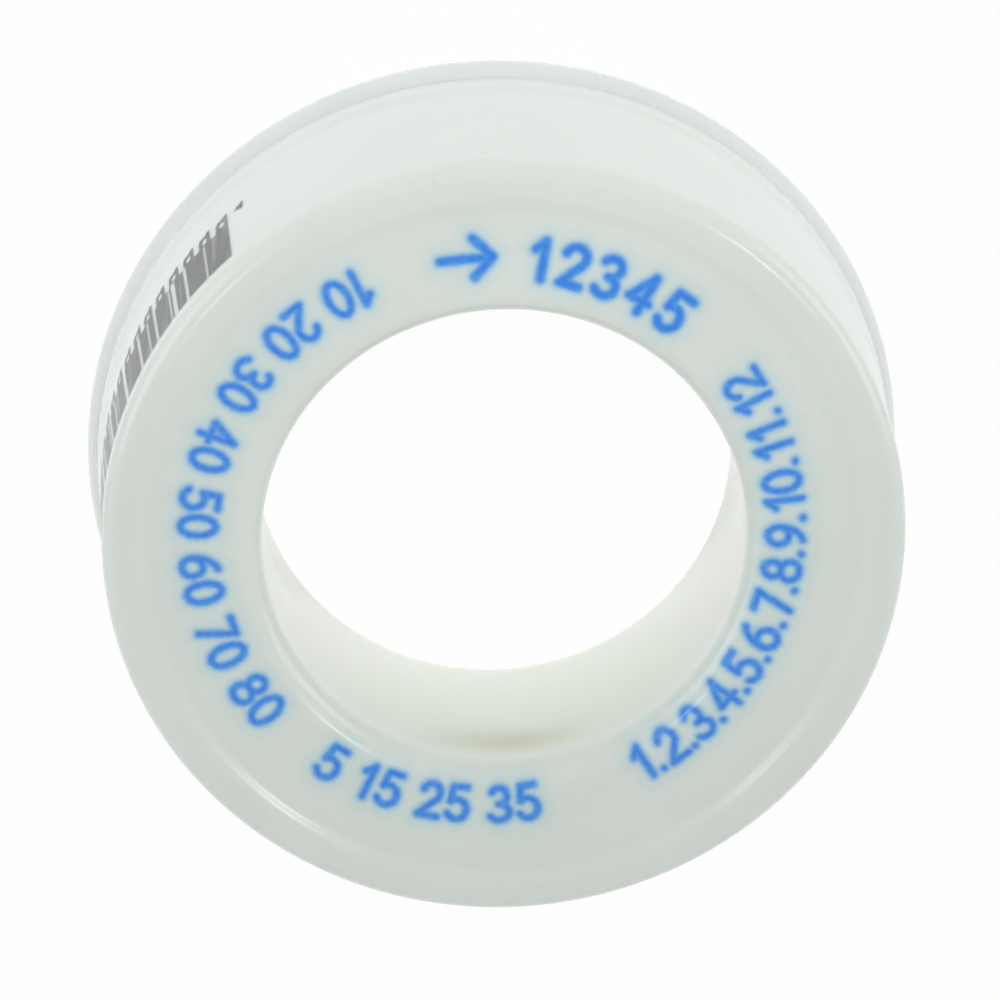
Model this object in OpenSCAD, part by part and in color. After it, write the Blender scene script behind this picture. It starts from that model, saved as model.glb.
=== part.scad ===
// Thread seal tape roll: a cover that snaps over a turning reel, with soft film wound on the reel.
// The tape and the bore set the size: the hub goes round the bore, the tape round the hub, the wall
// round the tape. It lies on the reel's flange, printed face up. The axis is Z, and the origin is on
// it at the back rim.

/* [Tape] */
// Width of the tape
tape_w = 10; // [6:0.5:19]
// Thickness of the tape
tape_t = 0.075; // [0.06:0.005:0.1]
// Length of the tape
tape_len = 8000; // [3000:500:15000]
// Room that the wound tape takes, as a share of its solid volume
packing_share = 1.02; // [1:0.01:1.1]
// Length of tape lying outside the wall
lead_out = 12; // [6:1:20]
// Length of tape lying inside the wall before the slot
lead_in = 6; // [4:1:10]

/* [Cover] */
// Diameter of the bore
bore_d = 27.4; // [20:0.1:32]
// Thickness of the bore's collar
collar_t = 0.8; // [0.6:0.05:1.2]
// Radius of the rounding at the mouth of the bore
bore_round = 1.0; // [0.5:0.1:1.4]
// Thickness of the front face
face_t = 1.1; // [0.8:0.1:1.6]
// Thickness of the outer wall
wall_t = 1.0; // [0.7:0.05:1.5]
// How far the wall flares out from the face to its open back edge
wall_flare = 0.45; // [0.2:0.05:0.8]
// Height of the band round the wall's open back edge
band_h = 0.15; // [0.1:0.05:0.25]
// Width of that band
band_w = 1.2; // [0.8:0.1:1.4]
// Radius of the rounding between face and wall
rim_round = 1.0; // [0.6:0.1:1.7]
// Width of the raised rim round the face
rim_w = 2.4; // [2.1:0.1:3]
// Height of the raised rim above the face
rim_step = 0.5; // [0.1:0.05:0.6]
// Width of the slot that the tape leaves by
slot_w = 3.0; // [2.6:0.1:4]
// Direction of the slot seen from the face, in degrees from +X
slot_angle = 270; // [200:5:340]

/* [Snap] */
// How far the snap lip stands out from the collar
lip_h = 0.3; // [0.25:0.05:0.4]
// Length of the snap lip along the axis
lip_w = 0.6; // [0.4:0.05:0.7]

/* [Reel] */
// Thickness of the hub that carries the tape
hub_t = 0.8; // [0.6:0.05:1.2]
// Thickness of the flange inside its bead
flange_t = 1.4; // [1.2:0.1:2]
// Thickness of the bead along the axis
bead_t = 2.0; // [1.7:0.1:2.4]
// Width of the bead
bead_w = 2.4; // [2:0.1:2.6]
// Radius of the bead's edges
bead_round = 0.8; // [0.4:0.1:0.8]
// How far the bead stands out past the wall's band
bead_overhang = 0.6; // [0.3:0.05:0.8]
// Depth of the back of the flange below its bead
back_recess = 0.3; // [0.1:0.05:0.4]
// Height of the ridge that keeps the wall central
ridge_h = 0.7; // [0.3:0.1:0.9]
// Thickness of that ridge
ridge_t = 0.6; // [0.4:0.1:0.8]

/* [Fits] */
// Running clearance between collar and hub
running_gap = 0.08; // [0.04:0.01:0.1]
// End play between the cover and the reel
end_gap = 0.25; // [0.15:0.05:0.4]
// Clearance round the snap lip
lip_gap = 0.15; // [0.1:0.05:0.2]
// Clearance between the ridge and the wall
ridge_gap = 0.25; // [0.15:0.05:0.4]
// Clearance between the tape and what it is wound on
winding_gap = 0.02; // [0.01:0.01:0.05]
// Room left between the full winding and the wall
winding_room = 0.73; // [0.5:0.05:2]
// Room left beside the tape, between the flange and the face
side_room = 1.55; // [1:0.05:2]
// Clearance between the free tape and its neighbours
film_gap = 0.15; // [0.1:0.05:0.2]

/* [Hidden] */
$fn = 96;

// Small roundings and slopes of the mouldings
edge_round = 0.3;
rim_slope = 0.6;
bead_slope = 0.25;
lip_chamfer = 0.25;
slot_margin = 0.5;
overrun = 1;
arc_steps = 8;

// Radii from the bore outwards; the wound tape fills a ring of its length times its thickness
bore_r = bore_d / 2;
collar_r = bore_r + collar_t;
pocket_r = collar_r + lip_h + lip_gap;
hub_in_r = collar_r + running_gap;
hub_r = hub_in_r + hub_t;
winding_r = sqrt(hub_r * hub_r + tape_len * tape_t * packing_share / PI);
face_r = winding_r + winding_room + wall_t;
rim_in_r = face_r - rim_w;
wall_back_r = face_r + wall_flare;
band_r = wall_back_r + band_h;
ridge_r = wall_back_r - wall_t - ridge_gap;
flange_r = band_r + bead_overhang;
bead_in_r = flange_r - bead_w;

// Heights from the back rim at zero up to the raised rim
stop_z = back_recess + lip_w + 2 * lip_gap;
lip_top_z = stop_z - lip_gap;
collar_end_z = lip_top_z - lip_w;
web_z = back_recess + flange_t;
seam_z = bead_t + end_gap;
band_z = seam_z + band_w;
tape_z = web_z + side_room;
slot_top_z = tape_z + tape_w + slot_margin;
under_z = tape_z + tape_w + side_room;
hub_top_z = under_z - end_gap;
face_z = under_z + face_t;
rim_z = face_z + rim_step;
shoulder_z = rim_z - rim_round;

// Outer radius of the flared wall at a height
function wall_r(z) = face_r + wall_flare * (shoulder_z - z) / (shoulder_z - seam_z);

// Points of an arc round a centre, from one angle to another
function arc(centre, radius, from, to) = [
    for (i = [0 : arc_steps])
        let (a = from + (to - from) * i / arc_steps)
        centre + radius * [cos(a), sin(a)]
];

// Section of the cover: bore mouth, face, rim, wall and band, then back inside to the collar and its lip
cover_section = concat(
    [[bore_r, collar_end_z + edge_round]],
    arc([bore_r + bore_round, face_z - bore_round], bore_round, 180, 90),
    [
        [rim_in_r - rim_slope / 2, face_z],
        [rim_in_r + rim_slope / 2, rim_z]
    ],
    arc([face_r - rim_round, shoulder_z], rim_round, 90, 0),
    [[wall_r(band_z), band_z]],
    arc([band_r - band_h, band_z - band_h], band_h, 90, 0),
    arc([band_r - edge_round, seam_z + edge_round], edge_round, 0, -90),
    [
        [wall_back_r - wall_t, seam_z],
        [wall_r(under_z) - wall_t, under_z],
        [collar_r, under_z],
        [collar_r, lip_top_z],
        [collar_r + lip_h, lip_top_z],
        [collar_r + lip_h, collar_end_z + lip_chamfer],
        [collar_r + lip_h - lip_chamfer, collar_end_z],
        [bore_r + edge_round, collar_end_z]
    ]
);

// Section of the reel: back of the flange, bead, ridge, flange, then the hub
reel_section = concat(
    [
        [pocket_r, back_recess],
        [bead_in_r - bead_slope / 2, back_recess],
        [bead_in_r + bead_slope / 2, 0]
    ],
    arc([flange_r - bead_round, bead_round], bead_round, -90, 0),
    arc([flange_r - bead_round, bead_t - bead_round], bead_round, 0, 90),
    [
        [ridge_r, bead_t],
        [ridge_r, bead_t + ridge_h],
        [ridge_r - ridge_t, bead_t + ridge_h],
        [ridge_r - ridge_t, web_z],
        [hub_r, web_z],
        [hub_r, hub_top_z],
        [hub_in_r, hub_top_z],
        [hub_in_r, stop_z],
        [pocket_r, stop_z]
    ]
);

// Run of the free tape: along the winding, up through the slot, then along the outside of the wall
lead_in_r = winding_r + film_gap + tape_t / 2;
lead_out_r = band_r + film_gap + tape_t / 2;
rise_share = 1.17;
rise = rise_share * slot_w * 180 / PI / (lead_in_r + lead_out_r);
lead_from = -rise - lead_in * 180 / PI / lead_in_r;
lead_to = rise + lead_out * 180 / PI / lead_out_r;
lead_steps = 48;
turn_step = (lead_to - lead_from) / lead_steps;

// Smooth rise from 0 to 1
function ease(u) = let (v = min(max(u, 0), 1)) v * v * (3 - 2 * v);

// Point on the middle of the free tape, at an angle from the slot
function lead_point(a) =
    let (r = lead_in_r + (lead_out_r - lead_in_r) * ease((a + rise) / (2 * rise)))
    r * [cos(a), sin(a)];

// Point on one face of the free tape, to the side of its run
function lead_face(a, side) =
    let (
        run = lead_point(a + turn_step / 2) - lead_point(a - turn_step / 2),
        square_to_run = [run.y, -run.x] / norm(run)
    )
    lead_point(a) + side * tape_t / 2 * square_to_run;

lead_angles = [for (i = [0 : lead_steps]) lead_from + i * turn_step];
lead_section = concat(
    [for (a = lead_angles) lead_face(a, 1)],
    [for (i = [lead_steps : -1 : 0]) lead_face(lead_angles[i], -1)]
);

// Face, wall and collar in one moulding, with the tape's slot open to the back edge
module cover_shell() {
    color([0.84, 0.87, 0.85])
    difference() {
        rotate_extrude()
            polygon(cover_section);
        rotate(slot_angle)
            translate([wall_back_r - wall_t - overrun, -slot_w / 2, seam_z - overrun])
                cube([wall_t + 2 * overrun, slot_w, slot_top_z - seam_z + overrun]);
    }
}

// Hub and beaded back flange in one moulding
module reel() {
    color([0.80, 0.83, 0.81])
    rotate_extrude()
        polygon(reel_section);
}

// Film wound tight on the hub
module tape_winding() {
    color([0.95, 0.95, 0.94])
    translate([0, 0, tape_z])
        rotate_extrude()
            translate([hub_r + winding_gap, 0])
                square([winding_r - hub_r - winding_gap, tape_w]);
}

// Free end of the film, through the slot and round the outside of the wall
module tape_lead() {
    color([0.96, 0.96, 0.95])
    rotate(slot_angle)
        translate([0, 0, tape_z])
            linear_extrude(tape_w)
                polygon(lead_section);
}

cover_shell();
reel();
tape_winding();
tape_lead();
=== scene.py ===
import math

import bmesh
import bpy
import numpy as np
from mathutils import Euler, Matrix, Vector


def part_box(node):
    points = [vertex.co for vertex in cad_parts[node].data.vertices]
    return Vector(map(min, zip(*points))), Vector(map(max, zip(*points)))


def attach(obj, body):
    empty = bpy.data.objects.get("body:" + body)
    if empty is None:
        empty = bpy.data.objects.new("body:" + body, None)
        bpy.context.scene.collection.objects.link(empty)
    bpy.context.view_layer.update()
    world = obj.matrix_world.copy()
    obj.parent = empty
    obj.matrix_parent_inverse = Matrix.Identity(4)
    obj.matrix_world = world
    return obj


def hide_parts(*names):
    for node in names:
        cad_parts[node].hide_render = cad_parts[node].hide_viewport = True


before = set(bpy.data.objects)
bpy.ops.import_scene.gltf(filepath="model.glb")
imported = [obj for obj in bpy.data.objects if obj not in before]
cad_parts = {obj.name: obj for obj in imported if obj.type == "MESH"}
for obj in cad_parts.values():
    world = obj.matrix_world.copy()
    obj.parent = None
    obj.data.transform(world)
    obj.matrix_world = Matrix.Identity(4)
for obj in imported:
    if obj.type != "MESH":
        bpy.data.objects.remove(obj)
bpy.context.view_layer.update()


# The reel is one moulding of white plastic: a thin hub that the film is wound on, and a back flange
# with a beaded rim. It is slid over the cover's collar from behind, clicks past the collar's lip and
# turns there. Three shallow marks on the flange are left by the pins that push it out of the mould.
mm = 0.001
bead_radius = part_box("reel")[1].x / mm
hub_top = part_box("reel")[1].z / mm
hub_inside = 14.58
hub_outside = 15.38
pocket_radius = 14.95
pocket_top = 1.2
ridge_inside = 21.1
ridge_outside = 21.7
ridge_top = 2.7
flange_back = 0.3
flange_front = 1.7
bead_top = 2.1
bead_width = 2.27
bead_foot_slope = 0.25
bead_shoulder_width = 0.6
bead_shoulder_height = 1.2
reel_corners = [
    # radius, height and rounding in mm, round the section from the pocket of the snap lip
    (pocket_radius, flange_back, 0.12),
    (bead_radius - bead_width - bead_foot_slope, flange_back, 0.15),
    (bead_radius - bead_width, 0.0, 0.15),
    (bead_radius, 0.0, 0.7),
    (bead_radius, bead_top - bead_shoulder_height, 0.4),
    (bead_radius - bead_shoulder_width, bead_top, 0.02),
    (ridge_outside, bead_top, 0.1),
    (ridge_outside, ridge_top, 0.15),
    (ridge_inside, ridge_top, 0.15),
    (ridge_inside, flange_front, 0.15),
    (hub_outside, flange_front, 0.2),
    (hub_outside, hub_top, 0.2),
    (hub_inside, hub_top, 0.2),
    (hub_inside, pocket_top, 0.1),
    (pocket_radius, pocket_top, 0.1),
]


def turned_piece(name, corners, sides):
    """A section drawn by extruding one vertex from corner to corner, rounded at each, turned about Z."""
    steps_on_1_mm = 8
    bpy.ops.object.select_all(action="DESELECT")
    bpy.ops.mesh.primitive_plane_add(size=mm)
    piece = bpy.context.active_object
    piece.name = name
    piece.data.name = name
    bpy.ops.object.mode_set(mode="EDIT")
    bpy.ops.mesh.select_all(action="SELECT")
    bpy.ops.mesh.merge(type="CENTER")
    places = [Vector((radius, 0, height)) * mm for radius, height, rounding in corners]
    bpy.ops.transform.translate(value=places[0])
    for here, there in zip(places, places[1:]):
        bpy.ops.mesh.extrude_region_move(TRANSFORM_OT_translate={"value": there - here})
    select_near(piece, [places[0], places[-1]])
    bpy.ops.mesh.edge_face_add()
    for place, (radius, height, rounding) in zip(places, corners):
        if rounding > 0:
            select_near(piece, [place])
            steps = max(1, round(steps_on_1_mm * math.sqrt(rounding)))
            bpy.ops.mesh.bevel(offset=rounding * mm, segments=steps, affect="VERTICES")
    bpy.ops.object.mode_set(mode="OBJECT")
    lathe = piece.modifiers.new("lathe", "SCREW")
    lathe.axis = "Z"
    lathe.angle = 2 * math.pi
    lathe.steps = sides
    lathe.render_steps = sides
    bpy.ops.object.modifier_apply(modifier=lathe.name)
    bpy.ops.object.mode_set(mode="EDIT")
    close_up(piece)
    return piece


def select_near(piece, places):
    """Selects, in edit mode, the one vertex that lies nearest to each place."""
    bpy.ops.mesh.select_all(action="DESELECT")
    shape = bmesh.from_edit_mesh(piece.data)
    for place in places:
        min(shape.verts, key=lambda vert: (vert.co - place).length).select_set(True)
    shape.select_flush_mode()
    bmesh.update_edit_mesh(piece.data)


def close_up(piece):
    """Merges a turned or cut mesh's doubles in edit mode, turns its faces outwards and shades it."""
    bpy.ops.mesh.select_all(action="SELECT")
    bpy.ops.mesh.remove_doubles(threshold=0.002 * mm)
    bpy.ops.mesh.normals_make_consistent(inside=False)
    bpy.ops.object.mode_set(mode="OBJECT")
    bpy.ops.object.shade_smooth_by_angle(angle=math.radians(32))


def cut_away(piece, cutter):
    """Takes the cutter's shape out of a piece, removes the cutter and closes the piece up."""
    bpy.ops.object.select_all(action="DESELECT")
    bpy.context.view_layer.objects.active = piece
    piece.select_set(True)
    cut = piece.modifiers.new("cut", "BOOLEAN")
    cut.object = cutter
    cut.solver = "EXACT"
    bpy.ops.object.modifier_apply(modifier=cut.name)
    bpy.data.objects.remove(cutter)
    bpy.ops.object.mode_set(mode="EDIT")
    close_up(piece)


reel = turned_piece("reel_moulding", reel_corners, sides=192)
pin_mark_radius = 1.1
pin_mark_depth = 0.06
pin_circle = 18.2
for turn in (90, 210, 330):
    bearing = math.radians(turn)
    pin_place = (pin_circle * math.cos(bearing), pin_circle * math.sin(bearing), flange_back)
    bpy.ops.object.select_all(action="DESELECT")
    bpy.ops.mesh.primitive_cylinder_add(
        vertices=48,
        radius=pin_mark_radius * mm,
        depth=2 * pin_mark_depth * mm,
        location=Vector(pin_place) * mm,
    )
    cut_away(reel, bpy.context.active_object)


def wire(tree, source, socket):
    """Joins another node's output to a socket, or sets the socket to a plain value."""
    if isinstance(source, bpy.types.NodeSocket):
        tree.links.new(source, socket)
    else:
        socket.default_value = source


def object_place(tree):
    """Where a point lies on the piece, in metres."""
    return tree.nodes.new("ShaderNodeTexCoord").outputs["Object"]


def noise(tree, scale, detail, stretch=(1, 1, 1)):
    """Soft noise from 0 to 1 with a number of waves to the metre, stretched along the axes."""
    mapping = tree.nodes.new("ShaderNodeMapping")
    texture = tree.nodes.new("ShaderNodeTexNoise")
    wire(tree, object_place(tree), mapping.inputs["Vector"])
    wire(tree, stretch, mapping.inputs["Scale"])
    wire(tree, mapping.outputs["Vector"], texture.inputs["Vector"])
    wire(tree, scale, texture.inputs["Scale"])
    wire(tree, detail, texture.inputs["Detail"])
    return texture.outputs["Fac"]


def stepped(tree, value, low, high, to_low=0.0, to_high=1.0):
    """A smooth step between two values as another value goes from low to high."""
    step = tree.nodes.new("ShaderNodeMapRange")
    step.interpolation_type = "SMOOTHSTEP"
    wire(tree, value, step.inputs["Value"])
    wire(tree, low, step.inputs["From Min"])
    wire(tree, high, step.inputs["From Max"])
    wire(tree, to_low, step.inputs["To Min"])
    wire(tree, to_high, step.inputs["To Max"])
    return step.outputs["Result"]


def worked_out(tree, operation, *values):
    """One step of arithmetic on values."""
    sum_node = tree.nodes.new("ShaderNodeMath")
    sum_node.operation = operation
    for value, socket in zip(values, sum_node.inputs):
        wire(tree, value, socket)
    return sum_node.outputs["Value"]


def mixed(tree, share, first, second):
    """One colour going over to another by a share."""
    mix = tree.nodes.new("ShaderNodeMix")
    mix.data_type = "RGBA"
    wire(tree, share, mix.inputs["Factor"])
    wire(tree, first, mix.inputs["A"])
    wire(tree, second, mix.inputs["B"])
    return mix.outputs["Result"]


def moulded_plastic_group():
    """White moulded plastic: clouded colour, satin sheen with fine scratches, grain and a few specks."""
    cloud_waves = 170
    scratch_waves = 1500
    speck_waves = 950
    grain_waves = 7000
    speck_brown = (0.42, 0.36, 0.24, 1)
    group = bpy.data.node_groups.new("moulded_plastic", "ShaderNodeTree")
    for name, kind in (
        ("Colour", "NodeSocketColor"),
        ("Cloud", "NodeSocketColor"),
        ("Gloss roughness", "NodeSocketFloat"),
    ):
        group.interface.new_socket(name, in_out="INPUT", socket_type=kind)
    for name, kind in (
        ("Colour", "NodeSocketColor"),
        ("Roughness", "NodeSocketFloat"),
        ("Height", "NodeSocketFloat"),
    ):
        group.interface.new_socket(name, in_out="OUTPUT", socket_type=kind)
    inside = group.nodes.new("NodeGroupInput").outputs
    outside = group.nodes.new("NodeGroupOutput").inputs
    clouds = stepped(group, noise(group, cloud_waves, 4), 0.35, 0.68)
    scratches = stepped(group, noise(group, scratch_waves, 2, (1, 0.03, 1)), 0.62, 0.72, 0.0, 0.02)
    specks = stepped(group, noise(group, speck_waves, 1), 0.825, 0.86, 0.0, 0.2)
    colour = mixed(group, clouds, inside["Colour"], inside["Cloud"])
    colour = mixed(group, specks, colour, speck_brown)
    unevenness = stepped(group, clouds, 0, 1, -0.015, 0.015)
    roughness = worked_out(group, "ADD", inside["Gloss roughness"], unevenness)
    roughness = worked_out(group, "ADD", roughness, scratches)
    wire(group, colour, outside["Colour"])
    wire(group, roughness, outside["Roughness"])
    wire(group, noise(group, grain_waves, 2), outside["Height"])
    return group


moulded_plastic = moulded_plastic_group()


def plastic_material(name, colour, cloud, roughness, depth):
    """A material on the moulded plastic group that lets light in to a depth; also its group and shader."""
    material = bpy.data.materials.new(name)
    material.use_nodes = True
    tree = material.node_tree
    shader = tree.nodes["Principled BSDF"]
    skin = tree.nodes.new("ShaderNodeGroup")
    skin.node_tree = moulded_plastic
    wire(tree, colour, skin.inputs["Colour"])
    wire(tree, cloud, skin.inputs["Cloud"])
    wire(tree, roughness, skin.inputs["Gloss roughness"])
    bump = tree.nodes.new("ShaderNodeBump")
    wire(tree, 0.12, bump.inputs["Strength"])
    wire(tree, 0.01 * mm, bump.inputs["Distance"])
    wire(tree, skin.outputs["Height"], bump.inputs["Height"])
    wire(tree, skin.outputs["Colour"], shader.inputs["Base Color"])
    wire(tree, skin.outputs["Roughness"], shader.inputs["Roughness"])
    wire(tree, bump.outputs["Normal"], shader.inputs["Normal"])
    wire(tree, 1.48, shader.inputs["IOR"])
    if depth > 0:
        wire(tree, 1.0, shader.inputs["Subsurface Weight"])
        wire(tree, (1.0, 0.97, 0.9), shader.inputs["Subsurface Radius"])
        wire(tree, depth * mm, shader.inputs["Subsurface Scale"])
    return material, skin, shader


# Painted light: the reel's colours are lighter than the cover's same plastic, to offset the shade on its
# bead.
reel_white_lightened = (0.85, 0.885, 0.87, 1)
reel_cloud_lightened = (0.835, 0.872, 0.855, 1)
reel_roughness = 0.22
reel_depth = 0.15
reel_plastic, _, _ = plastic_material("reel_plastic", reel_white_lightened, reel_cloud_lightened, reel_roughness, reel_depth)
reel.data.materials.append(reel_plastic)
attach(reel, "turning_reel")
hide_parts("reel")


# The tape is soft white film, unsintered and a little waxy, wound on the hub in about seventy turns.
# Its turns don't lie quite level, so the sides of the winding show fine uneven rings.
winding_low, winding_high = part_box("tape_winding")
winding_radius = winding_high.x / mm
film_low = winding_low.z / mm
film_high = winding_high.z / mm
winding_gap = 0.02
winding_start = hub_outside + winding_gap
shown_rings = 34
ring_step = (winding_radius - winding_start) / shown_rings
ring_flat_share = 0.6
ring_wander = 0.05
ring_slope = 0.03
ring_edge = 0.02
lower_side = []
upper_side = []
for ring in range(shown_rings):
    inner = winding_start + ring * ring_step
    outer = inner + ring_flat_share * ring_step
    low = film_low + ring_wander * (1 + math.sin(2.3 * ring) * math.sin(0.7 * ring))
    high = film_high - ring_wander * (1 + math.sin(1.9 * ring + 1) * math.sin(0.8 * ring))
    lower_side += [(inner, low + ring_slope, ring_edge), (outer, low, ring_edge)]
    upper_side += [(inner, high - ring_slope, ring_edge), (outer, high, ring_edge)]
last_turn = [
    (winding_radius, film_low + 2 * ring_wander, ring_edge),
    (winding_radius, film_high - 2 * ring_wander, ring_edge),
]
winding = turned_piece("tape_winding_film", lower_side + last_turn + upper_side[::-1], sides=144)


def film_material(name, along):
    """White film with a waxy sheen and fine streaks that run along the tape."""
    streak_waves = 2600
    film_shade = (0.80, 0.81, 0.80, 1)
    film_white = (0.88, 0.885, 0.88, 1)
    material = bpy.data.materials.new(name)
    material.use_nodes = True
    tree = material.node_tree
    shader = tree.nodes["Principled BSDF"]
    streaks = noise(tree, streak_waves, 4, along)
    bump = tree.nodes.new("ShaderNodeBump")
    wire(tree, 0.25, bump.inputs["Strength"])
    wire(tree, 0.02 * mm, bump.inputs["Distance"])
    wire(tree, streaks, bump.inputs["Height"])
    colour = mixed(tree, stepped(tree, streaks, 0.3, 0.7), film_shade, film_white)
    wire(tree, colour, shader.inputs["Base Color"])
    wire(tree, stepped(tree, streaks, 0, 1, 0.42, 0.62), shader.inputs["Roughness"])
    wire(tree, bump.outputs["Normal"], shader.inputs["Normal"])
    return material


winding.data.materials.append(film_material("wound_film", (0.08, 0.08, 1.0)))
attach(winding, "turning_reel")
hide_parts("tape_winding")


# The free end of the same film comes off the winding, goes out through the slot in the cover's wall
# and lies a little way round the outside, where it is torn off. It is limp, so it ripples slightly.
film_width = round(film_high - film_low, 3)
film_thickness = 0.075
film_gap = 0.15
slot_width = 3.0
band_radius = 23.1
lead_inside = 6.0
lead_outside = 12.0
lead_columns = 120
lead_rows = 20
rise_share = 1.17
ripple_height = 0.035
tear_depth = 0.25
lead_inner_radius = winding_radius + film_gap + film_thickness / 2
lead_outer_radius = band_radius + film_gap + film_thickness / 2
lead_rise = rise_share * slot_width / (lead_inner_radius + lead_outer_radius)
lead_start = -lead_rise - lead_inside / lead_inner_radius
lead_end = lead_rise + lead_outside / lead_outer_radius


def lead_radius(turn):
    """Distance of the film from the axis at an angle from the slot's middle."""
    share = min(max((turn + lead_rise) / (2 * lead_rise), 0), 1)
    eased = share * share * (3 - 2 * share)
    return lead_inner_radius + (lead_outer_radius - lead_inner_radius) * eased


bpy.ops.object.select_all(action="DESELECT")
bpy.ops.mesh.primitive_grid_add(x_subdivisions=lead_columns, y_subdivisions=lead_rows, size=1)
lead = bpy.context.active_object
lead.name = "tape_lead_film"
lead.data.name = "tape_lead_film"
for vert in lead.data.vertices:
    along = vert.co.x + 0.5
    across = vert.co.y + 0.5
    turn = lead_start + (lead_end - lead_start) * along
    past_slot = min(max((turn - lead_rise) / (lead_end - lead_rise), 0), 1)
    ripple = ripple_height * math.sin(34 * turn + 2.5 * across) * math.sin(math.pi * across) * past_slot
    torn = tear_depth * math.sin(5 * across) * past_slot ** 6 / lead_outer_radius
    radius = (lead_radius(turn) + ripple) * mm
    bearing = turn + torn - math.pi / 2
    height = (film_low + film_width * across) * mm
    vert.co = (radius * math.cos(bearing), radius * math.sin(bearing), height)
bpy.ops.object.mode_set(mode="EDIT")
bpy.ops.mesh.select_all(action="SELECT")
bpy.ops.mesh.normals_make_consistent(inside=False)
bpy.ops.object.mode_set(mode="OBJECT")
thicken = lead.modifiers.new("thickness", "SOLIDIFY")
thicken.thickness = film_thickness * mm
thicken.offset = 0
bpy.ops.object.modifier_apply(modifier=thicken.name)
bpy.ops.object.shade_smooth_by_angle(angle=math.radians(40))
lead.data.materials.append(film_material("free_film", (0.15, 0.15, 1.0)))
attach(lead, "cover")
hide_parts("tape_lead")


# The cover is one moulding of the same white plastic: a face with a rounded raised rim, a wall that
# flares a little towards its banded open edge, and a collar that lines the bore, which widens a little
# to the back so that it leaves the mould. A slot in the wall, open to the back edge, lets the tape out.
rim_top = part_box("cover_shell")[1].z / mm
collar_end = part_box("cover_shell")[0].z / mm
rim_step = 0.3
face_top = rim_top - rim_step
under_face = 14.8
bore_front = 13.54
bore_back = 14.03
mouth_round = 1.5
rim_foot = 19.75
rim_foot_round = 0.3
rim_edge = 20.45
rim_round = 1.0
shoulder_radius = 22.5
shoulder_height = rim_top - rim_round
wall_thickness = 1.0
band_thickness = 0.15
wall_back_radius = band_radius - band_thickness
seam_height = 2.25
seam_gap = 0.01
edge_height = bead_top + seam_gap
band_height = 3.1
band_start = 4.2
collar_radius = 14.5
lip_radius = 14.8
lip_top = 1.05
print_rows = 32


def wall_radius(height):
    """Radius of the flared wall at a height."""
    share = (shoulder_height - height) / (shoulder_height - seam_height)
    return shoulder_radius + (wall_back_radius - shoulder_radius) * share


printed_from = bore_front + mouth_round
printed_to = rim_foot - rim_foot_round
row_step = (printed_to - printed_from) / print_rows
cover_corners = [
    # radius, height and rounding in mm, round the section from the back of the bore
    (bore_back, collar_end, 0.2),
    (bore_front, face_top, mouth_round),
    # close rows across the face, fine enough to carry the print
    *[(printed_from + row_step * row, face_top, 0) for row in range(1, print_rows)],
    (rim_foot, face_top, rim_foot_round),
    (rim_edge, rim_top, 0.3),
    (wall_radius(rim_top), rim_top, rim_round),
    (wall_radius(band_start), band_start, 0.4),
    (band_radius, band_height, 0.4),
    (band_radius, edge_height, 0.03),
    (wall_back_radius - wall_thickness, edge_height, 0.15),
    (wall_radius(under_face) - wall_thickness, under_face, 0.4),
    (collar_radius, under_face, 0.4),
    (collar_radius, lip_top, 0.06),
    (lip_radius, lip_top, 0.08),
    (lip_radius, collar_end, 0.22),
]
cover = turned_piece("cover_moulding", cover_corners, sides=720)
slot_margin = 0.5
slot_overrun = 1.0
slot_top = film_high + slot_margin
slot_low = seam_height - slot_overrun
slot_depth = 4.0
bpy.ops.object.select_all(action="DESELECT")
bpy.ops.mesh.primitive_cube_add(
    size=1,
    location=Vector((0, -wall_back_radius, (slot_top + slot_low) / 2)) * mm,
    scale=Vector((slot_width, slot_depth, slot_top - slot_low)) * mm,
)
cut_away(cover, bpy.context.active_object)

cover_white = (0.815, 0.855, 0.825, 1)
cover_cloud = (0.80, 0.842, 0.808, 1)
bore_white = (0.80, 0.82, 0.765, 1)
dark_olive = (0.60, 0.61, 0.46, 1)
cover_roughness = 0.215
cover_depth = 0.5
cover_plastic, cover_skin, cover_shader = plastic_material(
    "cover_plastic", cover_white, cover_cloud, cover_roughness, cover_depth
)


def distance_from_axis(tree):
    """How far a point lies from the roll's axis, in metres."""
    flat = tree.nodes.new("ShaderNodeVectorMath")
    flat.operation = "MULTIPLY"
    wire(tree, object_place(tree), flat.inputs[0])
    wire(tree, (1, 1, 0), flat.inputs[1])
    reach = tree.nodes.new("ShaderNodeVectorMath")
    reach.operation = "LENGTH"
    wire(tree, flat.outputs["Vector"], reach.inputs[0])
    return reach.outputs["Value"]


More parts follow.
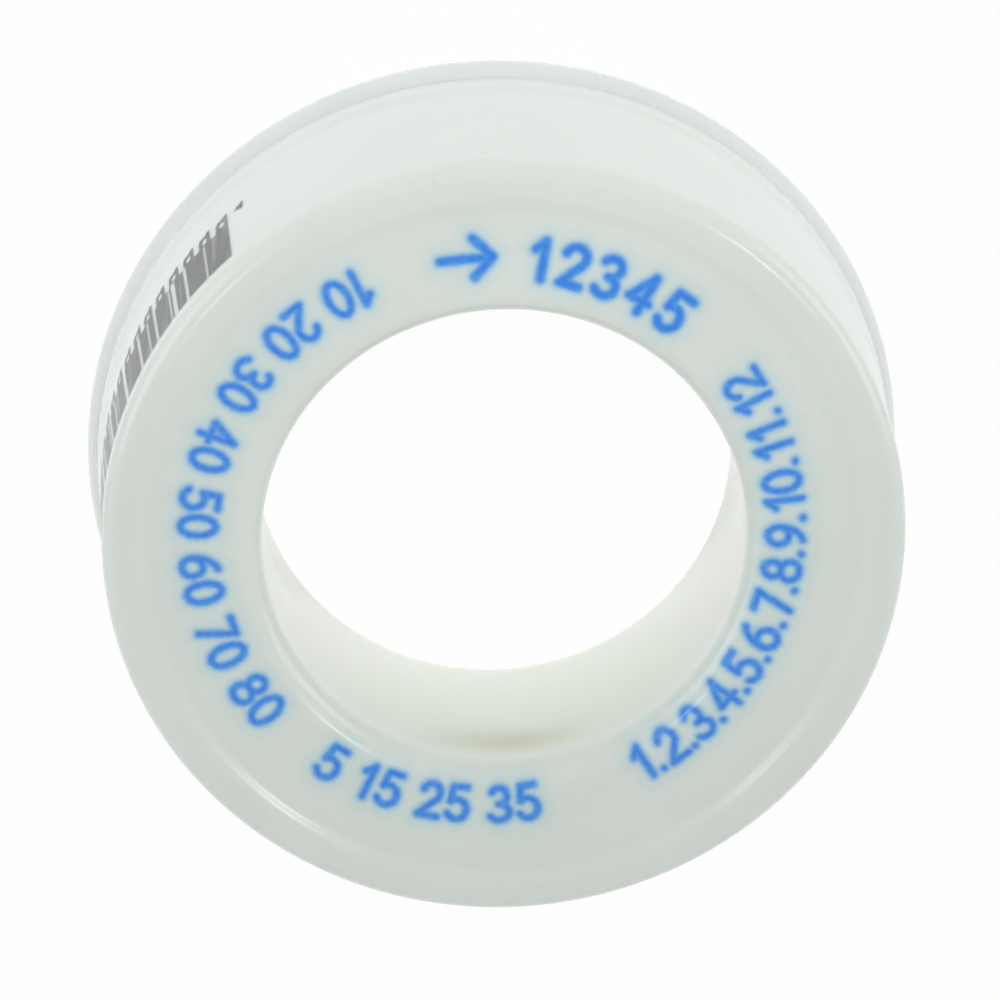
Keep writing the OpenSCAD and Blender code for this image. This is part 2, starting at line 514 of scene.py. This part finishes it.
def handled_bore(tree, colour):
    """The bore's own warmer plastic, with thin streaks of grime and one darker olive patch at its mouth.
    """
    olive_patch_strength = 0.68
    smear_waves = 260
    parts = tree.nodes.new("ShaderNodeSeparateXYZ")
    wire(tree, object_place(tree), parts.inputs["Vector"])
    near_axis = stepped(tree, distance_from_axis(tree), 14.1 * mm, 14.45 * mm, 1, 0)
    below_mouth = stepped(tree, parts.outputs["Z"], 12.6 * mm, 14.6 * mm, 1, 0)
    in_bore = worked_out(tree, "MULTIPLY", near_axis, below_mouth)
    colour = mixed(tree, in_bore, colour, bore_white)
    near_mouth = stepped(tree, parts.outputs["Z"], 11 * mm, 14.5 * mm)
    underneath = stepped(tree, parts.outputs["Y"], -13.2 * mm, -10 * mm, 1, 0.25)
    smears = stepped(tree, noise(tree, smear_waves, 4, (1, 1, 1.8)), 0.48, 0.72, 0, 0.42)
    grime = worked_out(tree, "MULTIPLY", worked_out(tree, "MULTIPLY", near_mouth, underneath), smears)
    colour = mixed(tree, worked_out(tree, "MULTIPLY", grime, in_bore), colour, dark_olive)
    # A darker olive patch at the foot of the bore's mouth, on its lower side.
    olive_patch = worked_out(tree, "MULTIPLY", in_bore, olive_patch_strength)
    for way, start, end, first, last in (
        # an axis, two places on it in mm, and the patch's strength before and after them
        ("X", -5.5, 0.5, 0, 1),
        ("X", 1.0, 6.5, 1, 0),
        ("Y", -13.0, -12.2, 1, 0),
        ("Z", 9.3, 12.0, 0, 1),
        ("Z", 12.0, 15.0, 1, 0),
    ):
        edge = stepped(tree, parts.outputs[way], start * mm, end * mm, first, last)
        olive_patch = worked_out(tree, "MULTIPLY", olive_patch, edge)
    return mixed(tree, olive_patch, colour, dark_olive)


bore_colour = handled_bore(cover_plastic.node_tree, cover_skin.outputs["Colour"])
cover.data.materials.append(cover_plastic)
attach(cover, "cover")
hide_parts("cover_shell")


# The face is printed in blue ink with plain numbers and an arrow. The pad sets the print down a little
# off centre, and the ink has bled into the plastic, so each stroke has a soft edge and a pale halo. A few
# specks of ink lie beside it.
print_centre = Vector((-0.74, 0.63))
print_radius = 16.4
halo_reach = 1.4
figure_height = 2.0
figure_width = 1.12


def arc_points(centre, size, first, last):
    """Points along part of an ellipse, in figure widths and heights, from one angle to another."""
    steps = 12
    turns = [math.radians(first + (last - first) * step / steps) for step in range(steps + 1)]
    return [(centre[0] + size[0] * math.cos(t), centre[1] + size[1] * math.sin(t)) for t in turns]


figures = {
    # the pen strokes of each figure; 0 to 1 across its width and 0 to 1 up its height
    "0": [arc_points((0.5, 0.5), (0.5, 0.5), 0, 360)],
    "1": [[(0.15, 0.76), (0.55, 1.0), (0.55, 0.0)]],
    "2": [arc_points((0.5, 0.72), (0.46, 0.28), 165, -35) + [(0.04, 0.0), (0.98, 0.0)]],
    "3": [
        arc_points((0.46, 0.75), (0.42, 0.25), 150, -90),
        arc_points((0.46, 0.25), (0.5, 0.25), 90, -150),
    ],
    "4": [[(0.72, 0.0), (0.72, 1.0), (0.0, 0.3), (1.0, 0.3)]],
    "5": [[(0.92, 1.0), (0.2, 1.0), (0.12, 0.54)] + arc_points((0.46, 0.31), (0.5, 0.31), 120, -150)],
    "6": [arc_points((0.5, 0.3), (0.48, 0.3), 0, 360), arc_points((0.98, 0.3), (0.96, 0.72), 180, 105)],
    "7": [[(0.0, 1.0), (1.0, 1.0), (0.36, 0.0)]],
    "8": [arc_points((0.5, 0.76), (0.42, 0.24), 0, 360), arc_points((0.5, 0.27), (0.5, 0.27), 0, 360)],
    "9": [arc_points((0.5, 0.7), (0.48, 0.3), 0, 360), arc_points((0.02, 0.7), (0.96, 0.72), 0, -75)],
    ".": [[(0.1, 0.02), (0.14, 0.02)]],
    ">": [[(0.0, 0.5), (2.3, 0.5)], [(1.5, 0.0), (2.35, 0.5), (1.5, 1.0)]],
    " ": [],
}
figure_advance = {"1": 0.75, ".": 0.28, " ": 0.3, ">": 2.4}


def printed_strokes(words, first, last, inwards, size):
    """Strokes of a row of figures spread round the print's circle between two angles, in mm."""
    widths = [figure_advance.get(letter, 1.0) * figure_width * size for letter in words]
    length = abs(math.radians(last - first)) * print_radius
    gap = (length - sum(widths)) / (len(words) - 1)
    along = 1 if last > first else -1
    start = 0
    strokes = []
    for letter, width in zip(words, widths):
        for stroke in figures[letter]:
            points = []
            for across, up in stroke:
                turn = math.radians(first) + along * (start + across * figure_width * size) / print_radius
                rise = (up - 0.5) * figure_height * size
                reach = print_radius + (-rise if inwards else rise)
                points.append(print_centre + reach * Vector((math.cos(turn), math.sin(turn))))
            strokes += list(zip(points, points[1:]))
        start += width + gap
    return strokes


def distance_to(strokes, places):
    """Distance in mm from each place to the nearest stroke."""
    nearest = np.full(len(places), 1e3)
    for a, b in strokes:
        a, b = np.array(a), np.array(b)
        run = b - a
        share = np.clip((places - a) @ run / max(run @ run, 1e-9), 0, 1)
        nearest = np.minimum(nearest, np.linalg.norm(places - a - share[:, None] * run, axis=1))
    return nearest


points = np.empty(len(cover.data.vertices) * 3)
cover.data.vertices.foreach_get("co", points)
points = points.reshape(-1, 3) / mm
from_axis = np.hypot(points[:, 0], points[:, 1])
just_past = 0.02
on_face = (points[:, 2] > face_top - mouth_round + just_past) & (from_axis < rim_foot)
ink_edge = np.full(len(points), 2 * halo_reach)
for words, first, last, inwards, size, pen in (
    # the row, its first and last angle, whether its tops point to the bore, its size and its pen in mm
    ("> 12345", 101.1, 51.5, False, 1.1, 0.50),
    ("10 20 30 40 50 60 70 80", 115.4, 221.8, True, 1.0, 0.38),
    ("5 15 25 35", 235.2, 280.0, True, 1.0, 0.40),
    ("1.2.3.4.5.6.7.8.9.10.11.12", 300.8, 395.2, True, 1.0, 0.38),
):
    strokes = printed_strokes(words, first, last, inwards, size)
    gaps = distance_to(strokes, points[on_face, :2]) - pen / 2
    ink_edge[on_face] = np.minimum(ink_edge[on_face], gaps)
ink_specks = ((15.5, 11.2), (15.7, 9.3), (16.3, 7.9), (17.5, 8.1), (-12.8, -11.4), (17.6, 1.3))
speck_edge = 0.3
speck_steepness = 3
for speck in ink_specks:
    reach = np.linalg.norm(points[on_face, :2] - np.array(speck), axis=1)
    gaps = speck_edge + speck_steepness * reach
    ink_edge[on_face] = np.minimum(ink_edge[on_face], gaps)
cover.data.attributes.new("ink_edge", "FLOAT", "POINT").data.foreach_set("value", ink_edge)


def inked(tree, colour):
    """Blue ink over a colour, by distance from the edge of the nearest stroke."""
    ragged_waves = 2600
    patch_waves = 1300
    patch_blue = (0.08, 0.43, 0.88, 1)
    edge = tree.nodes.new("ShaderNodeAttribute")
    edge.attribute_name = "ink_edge"
    ragged = worked_out(tree, "MULTIPLY_ADD", noise(tree, ragged_waves, 3), 0.14, edge.outputs["Fac"])
    for near, far, most, ink in (
        # where the layer starts and ends to either side of a stroke's edge in mm, its strength, its colour
        (0.0, halo_reach, 0.37, (0.52, 0.74, 0.82, 1)),
        (-0.02, 0.45, 0.72, (0.17, 0.52, 0.88, 1)),
        (-0.12, 0.22, 1.0, (0.038, 0.285, 0.90, 1)),
    ):
        strength = stepped(tree, ragged, near, far, most, 0)
        colour = mixed(tree, strength, colour, ink)
    patches = stepped(tree, noise(tree, patch_waves, 2), 0.48, 0.68, 0, 0.6)
    return mixed(tree, worked_out(tree, "MULTIPLY", strength, patches), colour, patch_blue)


printed_colour = inked(cover_plastic.node_tree, bore_colour)
wire(cover_plastic.node_tree, printed_colour, cover_shader.inputs["Base Color"])


# A row of plain grey bars is printed on the wall in thin ink, each along the axis. The bars fan out a
# little to the back and are painted paler along the row as a painted sheen; their back ends are ragged,
# and one small mark stands alone before the first.
bar_module = 0.1
bar_widths = (18, 15, 8, 2, 13, 6, 9)
bar_gaps = (1, 2, 3, 1, 2)
bar_columns = 213
bar_first_turn = 129.7
bar_front = 14.75
bar_back = 8.9
mark_back = 7.25
bar_rows = 25
bar_lift = 0.01
bar_thickness = 0.03
first_bar = 11
mark_columns = 9
mark_step = 13
mark_slant = 0.06
notch_low = bar_back - 0.7
notch_high = bar_back - 0.2
lone_mark_columns = 6
lone_mark_front = 8.5
lone_mark_slant = 0.1
least_fan = 0.02
fan_growth = 0.15
sheen_fade = 0.5
bar_inked = ["gap"] * first_bar
while len(bar_inked) < bar_columns:
    bar = bar_inked.count("gap start")
    bar_inked += ["ink"] * bar_widths[bar % len(bar_widths)]
    bar_inked += ["gap start"] + ["gap"] * (bar_gaps[bar % len(bar_gaps)] - 1)
bpy.ops.object.select_all(action="DESELECT")
bpy.ops.mesh.primitive_grid_add(x_subdivisions=bar_columns, y_subdivisions=bar_rows, size=1)
bars = bpy.context.active_object
bars.name = "wall_bars"
bars.data.name = "wall_bars"
bpy.ops.object.mode_set(mode="EDIT")
bpy.ops.mesh.select_all(action="DESELECT")
shape = bmesh.from_edit_mesh(bars.data)
for face in shape.faces:
    middle = face.calc_center_median()
    column = int((middle.x + 0.5) * bar_columns)
    height = mark_back + (bar_front - mark_back) * (middle.y + 0.5)
    bar = bar_inked[column] == "ink" and height > bar_back
    in_mark = (column - first_bar) % mark_step
    mark_ink = mark_back + mark_slant * in_mark < height <= bar_back
    mark = column >= first_bar and in_mark < mark_columns and mark_ink
    notch = 2 < in_mark < 6 and notch_low < height < notch_high
    slant = lone_mark_slant * column
    lone_mark = column < lone_mark_columns and mark_back + slant < height < lone_mark_front - slant
    if not (bar or (mark and not notch) or lone_mark):
        face.select_set(True)
bmesh.update_edit_mesh(bars.data)
bpy.ops.mesh.delete(type="FACE")
bpy.ops.object.mode_set(mode="OBJECT")
faces_round = np.bincount([corner for face in bars.data.polygons for corner in face.vertices])
# Each bar is softer at its edges and painted paler towards the end of the row, a painted sheen.
ink_depth_and_sheen = faces_round / 4 * [1 - sheen_fade * (vert.co.x + 0.5) ** 2 for vert in bars.data.vertices]
bars.data.attributes.new("ink_depth_and_sheen", "FLOAT", "POINT").data.foreach_set("value", ink_depth_and_sheen)
for vert in bars.data.vertices:
    along = vert.co.x + 0.5
    backwards = (bar_front - mark_back) * (0.5 - vert.co.y)
    radius = wall_radius(bar_front - backwards) + bar_lift
    run = along * bar_columns * bar_module + (least_fan + fan_growth * along) * backwards
    turn = math.radians(bar_first_turn) + run / shoulder_radius
    vert.co = Vector((radius * math.cos(turn), radius * math.sin(turn), bar_front - backwards)) * mm
bpy.ops.object.mode_set(mode="EDIT")
bpy.ops.mesh.select_all(action="SELECT")
bpy.ops.mesh.normals_make_consistent(inside=False)
bpy.ops.object.mode_set(mode="OBJECT")
if bars.data.polygons[0].center.dot(bars.data.polygons[0].normal) < 0:
    bars.data.flip_normals()
layer = bars.modifiers.new("ink layer", "SOLIDIFY")
layer.thickness = bar_thickness * mm
layer.offset = -1
bpy.ops.object.modifier_apply(modifier=layer.name)
bpy.ops.object.shade_smooth_by_angle(angle=math.radians(30))
bar_grey = (0.115, 0.12, 0.125, 1)
bar_cloud = (0.15, 0.155, 0.16, 1)
bar_worn = (0.3, 0.31, 0.31, 1)
bar_roughness = 0.36
wear_waves = 1600
bar_ink, bar_skin, bar_shader = plastic_material("bar_ink", bar_grey, bar_cloud, bar_roughness, depth=0)
tree = bar_ink.node_tree
depth = tree.nodes.new("ShaderNodeAttribute")
depth.attribute_name = "ink_depth_and_sheen"
wear = stepped(tree, noise(tree, wear_waves, 3, (1, 1, 0.06)), 0.5, 0.75)
worn = mixed(tree, wear, bar_skin.outputs["Colour"], bar_worn)
# The ink goes over to the wall's white by its depth, which also carries the painted sheen along the row.
bar_colour_with_sheen = mixed(tree, stepped(tree, depth.outputs["Fac"], 0.05, 0.95), cover_white, worn)
wire(tree, bar_colour_with_sheen, bar_shader.inputs["Base Color"])
bars.data.materials.append(bar_ink)
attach(bars, "cover")


# A plain pale floor carries the roll, and white surroundings stand behind it. Seen by the camera or in
# a reflection both are white, and the floor keeps part of the roll's shadow.
def seen_directly(tree):
    """1 for rays from the camera, a reflection or glass, 0 for rays that only bring light."""
    path = tree.nodes.new("ShaderNodeLightPath").outputs
    seen = worked_out(tree, "MAXIMUM", path["Is Camera Ray"], path["Is Glossy Ray"])
    return worked_out(tree, "MAXIMUM", seen, path["Is Transmission Ray"])


floor_drop = 0.02
floor_white = 0.96
bpy.ops.object.select_all(action="DESELECT")
bpy.ops.mesh.primitive_plane_add(size=6, location=(0, 0, -floor_drop * mm))
floor = bpy.context.active_object
floor.name = "floor"
floor_paint = bpy.data.materials.new("floor_paint")
floor_paint.use_nodes = True
tree = floor_paint.node_tree
matt = tree.nodes["Principled BSDF"]
wire(tree, (0.94, 0.94, 0.94, 1), matt.inputs["Base Color"])
wire(tree, 0.9, matt.inputs["Roughness"])
white = tree.nodes.new("ShaderNodeEmission")
wire(tree, (1, 1, 1, 1), white.inputs["Color"])
blend = tree.nodes.new("ShaderNodeMixShader")
wire(tree, worked_out(tree, "MULTIPLY", seen_directly(tree), floor_white), blend.inputs["Fac"])
wire(tree, matt.outputs["BSDF"], blend.inputs[1])
wire(tree, white.outputs["Emission"], blend.inputs[2])
wire(tree, blend.outputs["Shader"], tree.nodes["Material Output"].inputs["Surface"])
floor.data.materials.append(floor_paint)

scene = bpy.context.scene
world = bpy.data.worlds.new("surroundings")
scene.world = world
world.use_nodes = True
tree = world.node_tree
horizon_light = (0.436, 0.441, 0.436, 1)
overhead_light = (0.494, 0.507, 0.49, 1)
parts = tree.nodes.new("ShaderNodeSeparateXYZ")
wire(tree, tree.nodes.new("ShaderNodeTexCoord").outputs["Generated"], parts.inputs["Vector"])
ambient = tree.nodes["Background"]
upwards = stepped(tree, parts.outputs["Z"], 0.1, 0.75)
wire(tree, mixed(tree, upwards, horizon_light, overhead_light), ambient.inputs["Color"])
backdrop = tree.nodes.new("ShaderNodeBackground")
wire(tree, (1, 1, 1, 1), backdrop.inputs["Color"])
blend = tree.nodes.new("ShaderNodeMixShader")
wire(tree, seen_directly(tree), blend.inputs["Fac"])
wire(tree, ambient.outputs["Background"], blend.inputs[1])
wire(tree, backdrop.outputs["Background"], blend.inputs[2])
wire(tree, blend.outputs["Shader"], tree.nodes["World Output"].inputs["Surface"])


# Soft studio light: a lamp close beyond the top of the roll, a broad low one on either side, two small
# ones that put the short bright streaks on the rims, two broad ones that show only as a soft sheen on
# the roundings, and the light that comes up off the white table.
def soft_lamp(name, direction, distance, size, power, colour, mirrored=True, lighting=True):
    """A square area lamp that faces the roll from a direction; it may be mirrored, give light or both."""
    place = Vector(direction).normalized() * distance
    bpy.ops.object.light_add(type="AREA", location=place)
    lamp = bpy.context.active_object
    lamp.name = name
    lamp.rotation_euler = place.to_track_quat("Z", "Y").to_euler()
    lamp.visible_camera = False
    lamp.visible_glossy = mirrored
    lamp.visible_diffuse = lighting
    lamp.data.shape = "SQUARE"
    lamp.data.size = size
    lamp.data.energy = power
    lamp.data.color = colour


top_white = (0.98, 1.0, 0.98)
side_white = (0.965, 0.98, 1.0)
streak_white = (1.0, 1.0, 0.98)
sheen_white = (1.0, 1.0, 1.0)
table_white = (0.965, 0.975, 1.0)
soft_lamp("top_lamp", (0, 0.045, 0.085), 0.096, 0.045, 0.0155, top_white, mirrored=False)
soft_lamp("low_right_lamp", (0.97, -0.1, 0.28), 0.5, 0.35, 0.16, side_white)
soft_lamp("low_left_lamp", (-0.97, -0.12, 0.28), 0.5, 0.35, 0.25, side_white)
soft_lamp("right_streak", (0.386, 0.055, 0.92), 0.65, 0.04, 0.25, streak_white)
soft_lamp("left_streak", (-0.341, 0.007, 0.94), 0.65, 0.04, 0.15, streak_white)
soft_lamp("right_sheen", (0.9, 0.3, 0.25), 0.5, 0.34, 0.65, sheen_white, lighting=False)
soft_lamp("left_sheen", (-0.9, 0.25, 0.25), 0.5, 0.34, 0.65, sheen_white, lighting=False)
soft_lamp("light_table", (0, 0, -1), 0.015 * mm, 0.4, 0.26, table_white, mirrored=False)


# The camera stands over the printed face, tilted so that the wall shows beyond it, as in the photograph.
camera_turn = Euler([math.radians(a) for a in (-21.1, -2.75, 1.06)])
camera_aim = Vector((-0.33, 2.54, 15.4)) * mm
camera_distance = 271.5 * mm
focal_share = 4.871
bpy.ops.object.camera_add(
    location=camera_aim + camera_turn.to_matrix() @ Vector((0, 0, camera_distance)),
    rotation=camera_turn,
)
camera = bpy.context.active_object
camera.data.sensor_width = 36
camera.data.lens = focal_share * camera.data.sensor_width
camera.data.clip_start = 0.01
scene.camera = camera
scene.view_settings.view_transform = "Standard"
